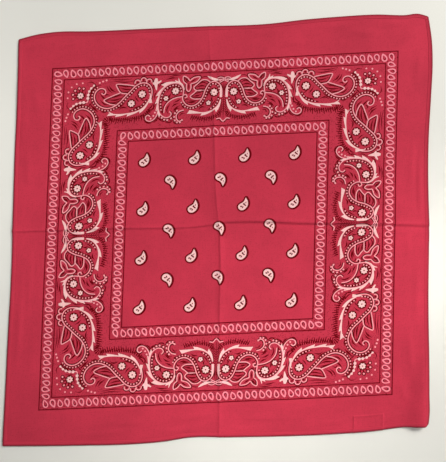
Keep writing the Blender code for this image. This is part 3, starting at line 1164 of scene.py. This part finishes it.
def double_fringe(dark, path, tall, short):
    """Two combs of dark strokes beside a path, each a reach, a spacing, a width and a lean."""
    fringe(dark, path, -0.6, *tall)
    fringe(dark, offset(path, 0.8), 0.0, *short)


def strokes(dark, rows):
    """Dark shading strokes: rows of a full width and the knots of each stroke."""
    for number, (width, *knots) in enumerate(rows):
        path = curve(knots)
        line(dark, path, swell(len(path), 0.4, 0.75 * width, 0.5), UNDER + 0.009 + 0.003 * (number % 3))


def quills(white, path, cuts, flares, side=1.0):
    """Barbed quills, one after another along a path: each starts thin and flares to a thorn."""
    last = len(path) - 1
    for number, (start, end, flare) in enumerate(zip(cuts, cuts[1:], flares)):
        first_point, end_point = int(start * last), max(int(end * last), int(start * last) + 3)
        inner = path[first_point:min(end_point, last) + 1]
        out = normals(inner) * side
        along = np.array([out[-1][1], -out[-1][0]]) * side
        run = np.linspace(0.0, 1.0, len(inner))[:, None]
        outer = inner + out * (0.8 + (flare - 0.8) * run ** 1.35)
        outer[-1] += along * 2.0 + out[-1] * 0.5
        outer[-2] += along * 0.9
        fill(white, inner - out * 0.6, outer, LIGHT + 0.006 * (number % 2))


def draw_great_paisley(light, white, dark, width):
    """The long paisley nearest the corner, with its curled tail, its crescent and its leaves."""
    back = curve(((97, 180), (95.5, 187), (96, 195), (100, 201), (108, 203.5), (117, 200), (124, 193),
                  (131, 186), (138, 178.5), (146, 173), (155, 171), (164, 174), (170, 180.5), (172, 188),
                  (169.5, 195), (164, 198.5), (158.5, 197), (157, 192.5), (160, 190), (162.5, 192)))
    belly = curve(((98, 182), (101, 176), (107, 169), (116, 164.5), (128, 162.5), (140, 162), (152, 163.5)))
    body(light, dark, back, width, first=5, last=-14)
    lower_edge(light, dark, belly, 28, 4.1)
    quills(white, belly[1:], (0.02, 0.34, 0.60, 0.84, 1.0), (3.6, 3.6, 3.2, 3.0), side=-1.0)
    fork = curve(((147, 162.8), (150, 164.5), (152.5, 166.5)))
    line(white, fork, np.linspace(1.8, 0.6, len(fork)), LIGHT + 0.010)
    wedge = curve(((97.3, 188), (97.3, 182), (96.8, 175.5)), step=1.0)
    line(white, wedge, np.linspace(0.8, 4.2, len(wedge)), LIGHT + 0.008)
    flower(white, dark, 108.5, 188, 5.0)
    flower(white, dark, 122.5, 176, 4.7, turn=0.3)
    for x, y in ((99.5, 206), (107, 208.2), (115, 205.5)):
        arch = curve(((x - 3.4, y - 2.6), (x - 3.0, y + 0.6), (x, y + 2.2), (x + 3.0, y + 0.6),
                      (x + 3.4, y - 2.6)))
        keyed(light, dark, arch, width * 0.95, shade=0.8)
        dot(dark, x, y - 0.8, 1.3, UNDER + 0.016, sides=8)
    leaf(light, dark, ((119, 200), (130, 202), (143, 203), (141.5, 198), (137, 191.5),
                       (128.5, 189.5)), width)
    leaf(light, dark, ((137, 191.5), (148, 187.5), (159, 182), (152, 177), (143.5, 175)), width)
    strokes(dark, (
        (2.2, (122, 199), (130, 199.5), (139, 201)), (2.6, (121, 196), (129, 195.5), (138, 198)),
        (1.6, (125, 192.5), (131, 192), (136, 193)),
        (2.2, (134, 188), (142, 187), (151, 184)), (2.8, (134, 185), (143, 182), (154, 182.5)),
        (2.0, (138, 181), (145, 178.5), (152, 179)),
        (3.0, (143, 192.5), (149, 196), (153, 202)), (2.2, (148, 191.5), (153, 196), (156, 202)),
        (2.6, (152, 189), (156, 190), (158, 187)), (3.0, (153, 181), (160, 186), (165, 192)),
        (2.6, (150, 176), (158, 177), (164, 183)), (1.8, (163, 203), (170, 201.5), (174, 196)),
        (2.0, (119, 206.5), (131, 205.5), (148, 208)), (1.6, (124, 209.5), (138, 209), (150, 211)),
        (1.8, (104, 178), (108, 180), (111, 183)), (2.2, (112, 178), (116, 182), (118, 186)),
        (2.4, (110, 173), (115, 170.5), (121, 169.5)), (2.6, (127, 170), (134, 171.5), (139, 168.5)),
        (2.0, (131, 177), (136, 173), (142, 169)), (2.0, (102, 196), (105, 199.5), (111, 199)),
        (2.2, (166, 167), (172, 171), (177, 179)), (1.8, (172, 167), (177, 172), (181, 177)),
        (2.4, (153, 167), (158, 166), (163, 167)), (2.0, (94, 196), (93, 203), (96, 209)),
        (1.5, (176, 192), (175.5, 199), (171, 206)),
    ))
    outer = curve(((99, 168), (106, 161), (117, 157.5), (132, 156.5), (151, 157)))
    double_fringe(dark, outer[::-1], (6.6, 3.0, 1.9, -1.8), (3.4, 2.3, 1.2, 1.6))
    inner = curve(((155, 157), (157, 153), (157, 148)))
    fringe(dark, inner[::-1], -3.0, 3.4, 2.6, 1.8, lean=-0.8)


def draw_curled_paisley(light, white, dark, width):
    """The S-shaped paisley, with its feathers above and its looped tail below."""
    outer = curve(((54, 183), (53.5, 191), (57, 198), (65, 201), (75, 198.5), (82.5, 191), (86, 181),
                   (86.5, 170), (84, 160), (77, 154.5), (71, 155.5), (69, 159.5), (71.5, 162.5)))
    inner = curve(((55, 182), (64, 180.5), (72, 176.5), (77.5, 169.5), (79, 161)))
    body(light, dark, outer, width, first=3, last=-20)
    keyed(light, dark, inner, width, shade=0.9)
    quills(white, offset(outer, 0.6), (0.09, 0.24, 0.40, 0.52, 0.62, 0.71, 0.78),
           (2.6, 5.0, 3.8, 3.4, 3.0, 2.6), side=1.0)
    horn = curve(((57.5, 199), (59.5, 203), (60.5, 207)))
    line(white, horn, np.linspace(2.6, 0.7, len(horn)), LIGHT + 0.010)
    flower(white, dark, 64, 190, 4.8)
    flower(white, dark, 76.5, 180.5, 3.4, petals=6)
    trunk = curve(((90, 208.6), (90.6, 203), (90.2, 198), (89.5, 192.5)))
    widths = np.interp(np.linspace(0.0, 1.0, len(trunk)), (0.0, 0.2, 0.5, 1.0), (2.6, 5.2, 4.6, 1.0))
    line(white, trunk, widths, LIGHT)
    for knots in (((90, 202), (86.5, 203), (83.5, 205)), ((90, 201), (93, 201.5), (94.5, 203))):
        arm = curve(knots)
        line(white, arm, np.linspace(3.8, 1.6, len(arm)), LIGHT + 0.008)
    tail = curve(((86.5, 164), (88.5, 157.5), (92.5, 152.5), (97.5, 150.5), (102, 152.5), (103, 156.5),
                  (100, 159), (97, 157)))
    keyed(light, dark, tail, width, shade=-0.9)
    for x, y in ((88.8, 166.2), (90.6, 162), (92.6, 157.6), (96, 154)):
        dot(light, x, y, 1.25, LIGHT + 0.004, sides=8)
    places = ((69, 153), (74, 151), (78, 151.8), (81.4, 154.4), (85, 159))
    shaded_beads(light, dark, places, 1.35, 0.4, -0.8, 2.2)
    hook = curve(((52.5, 163.5), (58, 162), (62, 157.5), (61.5, 151.5), (58, 148.5), (54.5, 150)))
    keyed(light, dark, hook, width, shade=-0.9)
    places = ((61.5, 163), (64, 159.8), (65, 154.8), (64, 150), (61, 147.2), (57.2, 147), (54.5, 150))
    shaded_beads(light, dark, places, 1.3, 0.5, -0.6, 2.1)
    strokes(dark, (
        (2.4, (59, 186), (59.5, 192), (64, 196.5)), (2.4, (66, 196.5), (72, 194), (76, 188.5)),
        (2.2, (77.5, 187), (80, 181), (81, 174)), (2.6, (70, 187), (72, 183), (71, 179)),
        (2.6, (62, 207.5), (69, 208), (77, 206)), (2.4, (77, 202.5), (83, 201), (87, 195.5)),
        (2.0, (88, 192), (91.5, 186), (92, 179)), (2.2, (90, 178), (92.5, 172), (92, 165)),
        (2.6, (57, 179), (61, 176.5), (66, 174.5)), (2.8, (60, 173), (65, 171.5), (69, 168)),
        (2.6, (58, 170), (63, 167), (67, 162.5)), (2.4, (71, 173), (74, 168), (75, 163)),
        (2.2, (57, 166.5), (62, 166), (66, 161)), (2.2, (81, 170), (82, 164), (79.5, 157.5)),
        (2.4, (66, 151), (70, 148), (77, 147.5)), (2.2, (79, 149), (84, 152), (88, 157)),
        (2.4, (86, 157), (88, 152), (93, 148.5)), (2.0, (95, 147.5), (101, 148.5), (105.5, 153)),
        (2.2, (68, 159), (66.5, 155), (69, 150)), (2.0, (51, 159), (55, 159), (58, 155)),
        (2.2, (66.5, 150), (64.5, 146.5), (60, 144.5)), (2.4, (93.5, 175), (96, 170), (101, 166)),
        (2.4, (94, 168), (99, 164), (103, 160)), (2.0, (90, 173), (93.5, 167.5), (97, 163)),
        (2.0, (56, 187), (56.5, 193), (60, 198)), (1.8, (85.5, 206), (87, 200), (86.5, 196)),
        (1.8, (93.5, 208), (93.5, 200), (92, 194)), (2.2, (73, 159), (75, 164), (74, 170)),
    ))


def draw_side_paisley(light, white, dark, width):
    """The paisley beside the middle of a side, with its leaves and the tulip over it."""
    back = curve(((2.5, 181), (3, 190), (6.5, 197), (13, 200.5), (19.5, 198), (24.5, 190), (28, 180),
                  (33, 172.5), (41, 168.5), (49, 170.5), (54, 177), (54, 183), (50.5, 184.5), (48.5, 181.5),
                  (51.5, 180)))
    belly = curve(((3.5, 182), (4.5, 174), (8.5, 166), (16, 160.5), (28, 158.5), (45, 162.5)))
    body(light, dark, back, width, first=3, last=-14)
    lower_edge(light, dark, belly, 24, 4.0)
    quills(white, belly[5:], (0.0, 0.32, 0.66, 1.0), (4.6, 3.8, 4.6), side=-1.0)
    bar = np.linspace((4.4, 194), (3.8, 178.5), 10)
    line(white, bar, np.linspace(1.4, 3.2, 10), LIGHT + 0.010)
    flower(white, dark, 13, 185.5, 4.9)
    flower(white, dark, 20, 171.5, 3.3, petals=5, turn=1.57)
    leaf(light, dark, ((18, 199.5), (23, 203), (29.5, 203), (35, 198.5), (40, 193.5), (37, 189.5),
                       (26, 189)), width)
    leaf(light, dark, ((26, 189), (35.5, 189), (40, 185.5), (44.5, 181.5), (40, 178),
                       (30, 177.5)), width)
    for knots in (((45.5, 203), (40, 207), (32, 207.5), (36, 201.5), (44, 198.5)),
                  ((45.5, 203), (49, 207.5), (54, 209.5), (54, 203), (50, 199)),
                  ((44, 198.5), (44, 192), (46.5, 188.5), (49.5, 191), (50, 199))):
        keyed(light, dark, curve(knots, step=1.1), width, shade=-0.9)
    strokes(dark, (
        (2.2, (21, 197), (28, 200), (34, 197)), (3.0, (23, 194), (30, 195.5), (37, 193.5)),
        (1.8, (26, 191.5), (31, 191.5), (36, 191)),
        (2.0, (29, 186.5), (34, 186), (38, 184.5)), (3.0, (30, 183.5), (36, 182), (41, 181.5)),
        (1.8, (31, 180), (36, 179.5), (40, 180)),
        (2.6, (37, 205.5), (41, 203), (45, 200.5)), (2.2, (48, 201), (50, 204.5), (52.5, 206.5)),
        (2.4, (47, 200), (46.8, 195), (46.8, 191)), (3.2, (37, 173.5), (43, 173.5), (49, 174.5)),
        (2.4, (34, 176), (40, 175), (46, 176.5)), (2.6, (8, 190), (9, 195), (14, 196.5)),
        (2.0, (18.5, 191), (20.5, 185), (22.5, 179)), (2.6, (15, 180), (16, 176), (14, 173)),
        (2.6, (24, 176), (27, 171), (32, 167)), (2.8, (24, 166), (29, 166.5), (33, 163.5)),
        (2.0, (10, 177), (13, 171), (18, 166)), (2.2, (42, 192), (42, 198), (38, 200)),
        (1.8, (31, 206), (35, 209.5), (42, 209)), (1.8, (50, 196), (52, 192), (52, 187)),
        (2.0, (45, 187), (47.5, 186), (50.5, 187)), (2.2, (46.5, 178), (49.5, 178.5), (51.5, 176)),
        (1.8, (57, 210.5), (66, 211), (74, 209.5)), (2.4, (55, 173), (54, 168), (48, 165.5)),
        (2.2, (36, 166), (42, 164.5), (50, 166.5)), (1.6, (20, 207), (27, 207.5), (32, 205)),
    ))
    outer = curve(((5, 160), (11, 154.5), (25, 152), (42, 155.5)))
    double_fringe(dark, outer[::-1], (5.8, 2.8, 1.8, -1.6), (3.2, 2.2, 1.1, 1.6))


def draw_corner(light, white, dark):
    """The corner's round flower, with its rays, its rings of dots and the beaded chevron inside it."""
    x, y = 190.0, 190.5
    flower(white, dark, x, y, 4.3, petals=7)
    for turn in (112, 79, 45, 11, -22):
        angle = math.radians(turn)
        ray = np.linspace(around(x, y, 5.0, angle), around(x, y, 8.4, angle), 4)
        line(dark, ray, (1.2, 1.4, 1.8, 2.2), UNDER + 0.004)
        tip = around(x, y, 10.3, angle)
        dot(dark, *tip, 2.7, UNDER + 0.008, sides=10)
        dot(light, *tip, 1.4, LIGHT, sides=8)
    for turn in (98, 71, 45, 19, -8):
        dot(light, *around(x, y, 17.2, math.radians(turn)), 1.2, LIGHT, sides=8)
    beads_at = ((203, 173), (199.5, 176.5), (195.5, 179), (190.5, 180.2), (186, 180.6))
    for number, (far, near) in enumerate(beads_at):
        for bead_x, bead_y in ((near, far), (far, near)):
            dot(dark, bead_x - 0.8, bead_y - 0.8, 2.6, UNDER + 0.010, sides=10)
            dot(white, bead_x, bead_y, 1.45 + 0.14 * number, LIGHT + 0.005 * (number % 2), sides=10)
    chevron = curve(((173, 203), (179, 195.5), (180.4, 188), (181, 181), (188, 180.4), (195.5, 179),
                     (203, 173)))
    line(light, chevron, 1.4, LIGHT - 0.004)
    strokes(dark, (
        (2.2, (171, 200), (175.5, 194), (176.8, 186)), (2.2, (200, 171), (194, 175.5), (186, 176.8)),
        (2.4, (175, 179), (177.5, 177.5), (179, 175)),
        (1.6, (207, 182), (208, 176), (204, 171)), (1.6, (182, 207), (176, 208), (171, 204)),
        (1.8, (184, 186), (184.5, 191), (183.5, 196)), (1.8, (186, 184), (191, 184.5), (196, 183.5)),
    ))


def draw_corner_sprigs(light):
    """Small dots at the corner end of each side."""
    for x, y in ((156.5, 209.3), (161, 208), (165.5, 206.3)):
        dot(light, x, y, 1.3, LIGHT, sides=8)


def draw_middle(light, white, dark, width):
    """The middle of a side: its crossed arcs, its wings and the dark plume under them."""
    for side in (-1.0, 1.0):
        wing = curve(((6.0 * side, 202.0), (11 * side, 202.8), (16 * side, 204.4), (22 * side, 208.0)))
        widths = np.interp(np.linspace(0.0, 1.0, len(wing)), (0.0, 0.35, 0.75, 1.0), (1.0, 3.6, 3.0, 0.6))
        line(white, wing, widths, LIGHT + 0.004 * (side + 1.0))
        for low, high in ((200.5, 205.8), (198.5, 203.0)):
            arc = curve(((-9 * side, high - 1.2), (-4 * side, high), (2 * side, (low + high) / 2.0),
                         (6 * side, low)))
            keyed(light, dark, arc, width * 0.85, shade=0.8)
        zig = curve(((0, 145.2), (2.0 * side, 147.0), (4.4 * side, 149.6), (9 * side, 149.0)), step=1.0)
        keyed(light, dark, zig, width, shade=-0.9 * side)
        for number in range(7):
            y = 179 - 3.1 * number
            tip = 3.6 * side + 0.16 * number * side
            spine = curve(((0.2 * side, y), (2.0 * side, y - 1.4), (tip, y - 5.0)))
            line(dark, spine, swell(len(spine), 0.4, 1.1), UNDER + 0.004 * (number % 2))
            outer = curve(((3.4 * side, y - 7.0), ((4.6 + 0.5 * number) * side, y - 9.6)))
            line(dark, outer, 0.9, UNDER + 0.004)
        rays = curve(((1.2 * side, 198), (0.9 * side, 189), (1.2 * side, 181)))
        line(dark, rays, swell(len(rays), 0.5, 1.5), UNDER + 0.010)
    line(dark, np.linspace((0, 181), (0, 150), 16), swell(16, 0.5, 1.1), UNDER + 0.012)


# ---------------------------------------------------------------------------------------------
# Operators, one for each piece or group of like pieces, and one for the stage.


class BuildCloth(bpy.types.Operator):
    """Build the printed square of cloth and its hems"""

    bl_idname = "bandana.build_cloth"
    bl_label = "Cloth and hems"

    def execute(self, context):
        cloth = context.scene.bandana_cloth
        square = make_cloth(cloth, context.scene.bandana_print)
        material = turned_cotton(cloth)
        hems = [make_hem(side, face_u, face_v, material) for side, face_u, face_v in SIDES]
        return {"FINISHED"}


class BuildStitches(bpy.types.Operator):
    """Sew the hems with a line of lockstitches on each side"""

    bl_idname = "bandana.build_stitches"
    bl_label = "Stitches"

    def execute(self, context):
        make_stitches(spun_polyester(context.scene.bandana_cloth.thread))
        return {"FINISHED"}


class BuildLabel(bpy.types.Operator):
    """Build the plain ribbon label under the front right of the cloth"""

    bl_idname = "bandana.build_label"
    bl_label = "Label"

    def execute(self, context):
        make_label(satin_ribbon(context.scene.bandana_cloth.ribbon))
        return {"FINISHED"}


class PrintBands(bpy.types.Operator):
    """Print the two framed bands of loops"""

    bl_idname = "bandana.print_bands"
    bl_label = "Bands"

    def execute(self, context):
        ink = context.scene.bandana_print
        width = LOOP_WEIGHT * ink.line / MM
        rules = bmesh.new()
        draw_rules(rules, ink.rule / MM)
        print_piece(context, "band_rules", rules, DARK_INK)
        loops, cores = bmesh.new(), bmesh.new()
        for middle, reach, sides in CHAINS:
            for side, turn in zip(sides, quarter_turns()):
                drawn = (bmesh.new(), bmesh.new())
                draw_chain(*drawn, middle, reach, width, *side)
                stamp(loops, drawn[0], [turn])
                stamp(cores, drawn[1], [turn])
        print_piece(context, "band_loops", loops, LOOP_INK)
        print_piece(context, "band_cores", cores, DARK_INK)
        return {"FINISHED"}


class PrintField(bpy.types.Operator):
    """Print the field's rows of paisley drops"""

    bl_idname = "bandana.print_field"
    bl_label = "Field drops"

    def execute(self, context):
        light, dark = bmesh.new(), bmesh.new()
        draw_field(light, dark)
        print_piece(context, "field_drops", light, LIGHT_INK)
        print_piece(context, "field_outlines", dark, DARK_INK)
        return {"FINISHED"}


class PrintBorder(bpy.types.Operator):
    """Print the paisley border between the bands"""

    bl_idname = "bandana.print_border"
    bl_label = "Paisley border"

    def execute(self, context):
        width = context.scene.bandana_print.line / MM
        border = [bmesh.new(), bmesh.new(), bmesh.new()]
        part = [bmesh.new(), bmesh.new(), bmesh.new()]
        draw_great_paisley(*part, width)
        draw_curled_paisley(*part, width)
        draw_side_paisley(*part, width)
        draw_corner_sprigs(part[0])
        for ink_layer, drawn in zip(border, part):
            stamp(ink_layer, drawn, quarter_turns(mirrored=True))
        part = [bmesh.new(), bmesh.new(), bmesh.new()]
        draw_corner(*part)
        draw_middle(*part, width)
        for ink_layer, drawn in zip(border, part):
            stamp(ink_layer, drawn, quarter_turns())
        print_piece(context, "border_lines", border[0], PINK_INK)
        print_piece(context, "border_lights", border[1], LIGHT_INK)
        print_piece(context, "border_darks", border[2], DARK_INK)
        return {"FINISHED"}


FLOOR_HALF = 2.5
FLOOR_GAP = 0.0004     # from the cloth down to the floor
WORLD_COLOR = (0.95, 0.97, 1.0, 1.0)
WORLD_STRENGTH = 0.30
LIGHT_COLOR = (1.0, 0.99, 0.97)

# Lights: name, place, the point faced, size in metres, and spread in degrees.
LIGHTS = (
    ("key", (1.75, 1.25, 1.85), (0.0, 0.0, 0.0), 1.2, 180.0),
    ("front", (0.08, -0.27, 1.0), (0.03, -0.215, 0.0), 0.3, 29.0),
    ("left", (-0.50, 0.02, 1.0), (-0.37, 0.05, 0.0), 0.3, 32.0),
    ("right", (0.44, -0.05, 1.0), (0.33, -0.05, 0.0), 0.15, 18.0),
)

# The camera: the point faced, the distance from it, the leans to the right and to the front from
# straight above in degrees, and the focal length in millimetres.
CAMERA_AIM = Vector((0.00507, -0.00414, 0.0))
CAMERA_DISTANCE = 0.90
CAMERA_RIGHT = 0.965
CAMERA_FRONT = 2.630
CAMERA_LENS = 52.93


def area_light(name, place, aim, size, spread_angle, power):
    """Add a soft square light that faces a point."""
    data = bpy.data.lights.new(name, "AREA")
    data.spread = math.radians(spread_angle)
    data.shape = "SQUARE"
    data.size = size
    data.energy = power
    data.color = LIGHT_COLOR
    light = bpy.data.objects.new(name, data)
    light.location = place
    light.visible_camera = False
    light.rotation_euler = (Vector(aim) - Vector(place)).to_track_quat("-Z", "Y").to_euler()
    bpy.context.scene.collection.objects.link(light)


def add_camera(context):
    """Add a camera that looks almost straight down on the cloth."""
    data = bpy.data.cameras.new("camera")
    data.lens = CAMERA_LENS
    camera = bpy.data.objects.new("camera", data)
    right = math.sin(math.radians(CAMERA_RIGHT))
    front = -math.sin(math.radians(CAMERA_FRONT))
    away = Vector((right, front, math.sqrt(1.0 - right ** 2 - front ** 2)))
    camera.location = CAMERA_AIM + away * CAMERA_DISTANCE
    across = Vector((0.0, 1.0, 0.0)).cross(away).normalized()
    turned = Matrix((across, away.cross(across), away)).transposed()
    camera.rotation_euler = turned.to_euler()
    context.scene.collection.objects.link(camera)
    context.scene.camera = camera


class BuildStage(bpy.types.Operator):
    """Set out the plain pale floor, the soft light and the camera"""

    bl_idname = "bandana.build_stage"
    bl_label = "Stage"

    def execute(self, context):
        stage = context.scene.bandana_stage
        context.scene.view_settings.view_transform = "Standard"
        floor = bmesh.new()
        place = Matrix.Translation((0.0, 0.0, CAD_BOX[0].z - FLOOR_GAP))
        bmesh.ops.create_grid(floor, x_segments=4, y_segments=4, size=FLOOR_HALF, matrix=place)
        mesh = bpy.data.meshes.new("floor")
        floor.to_mesh(mesh)
        floor.free()
        mesh.materials.append(painted_board(stage.floor))
        board = bpy.data.objects.new("floor", mesh)
        context.scene.collection.objects.link(board)
        world = bpy.data.worlds.new("studio")
        world.use_nodes = True
        background = world.node_tree.nodes["Background"]
        background.inputs["Color"].default_value = WORLD_COLOR
        background.inputs["Strength"].default_value = WORLD_STRENGTH
        context.scene.world = world
        for light in LIGHTS:
            area_light(*light, getattr(stage, light[0] + "_power"))
        add_camera(context)
        return {"FINISHED"}


class BandanaPanel(bpy.types.Panel):
    """The bandana's settings and the steps that build it"""

    bl_idname = "VIEW3D_PT_bandana"
    bl_label = "Bandana"
    bl_space_type = "VIEW_3D"
    bl_region_type = "UI"
    bl_category = "Bandana"

    def draw(self, context):
        scene = context.scene
        for settings in (scene.bandana_cloth, scene.bandana_print, scene.bandana_stage):
            box = self.layout.box()
            for name in settings.__annotations__:
                box.prop(settings, name)
        for step in STEPS:
            self.layout.operator(step.bl_idname)


STEPS = (BuildStage, BuildCloth, BuildStitches, BuildLabel, PrintBands, PrintField, PrintBorder)
CLASSES = (BandanaClothSettings, BandanaPrintSettings, BandanaStageSettings, *STEPS, BandanaPanel)


def register():
    for item in CLASSES:
        bpy.utils.register_class(item)
    bpy.types.Scene.bandana_cloth = bpy.props.PointerProperty(type=BandanaClothSettings)
    bpy.types.Scene.bandana_print = bpy.props.PointerProperty(type=BandanaPrintSettings)
    bpy.types.Scene.bandana_stage = bpy.props.PointerProperty(type=BandanaStageSettings)


def unregister():
    del bpy.types.Scene.bandana_stage
    del bpy.types.Scene.bandana_print
    del bpy.types.Scene.bandana_cloth
    for item in reversed(CLASSES):
        bpy.utils.unregister_class(item)


def main():
    """Build every piece and the stage."""
    register()
    bpy.ops.bandana.build_stage()
    bpy.ops.bandana.build_cloth()
    bpy.ops.bandana.build_stitches()
    bpy.ops.bandana.build_label()
    bpy.ops.bandana.print_bands()
    bpy.ops.bandana.print_field()
    bpy.ops.bandana.print_border()


if __name__ == "__main__":
    main()
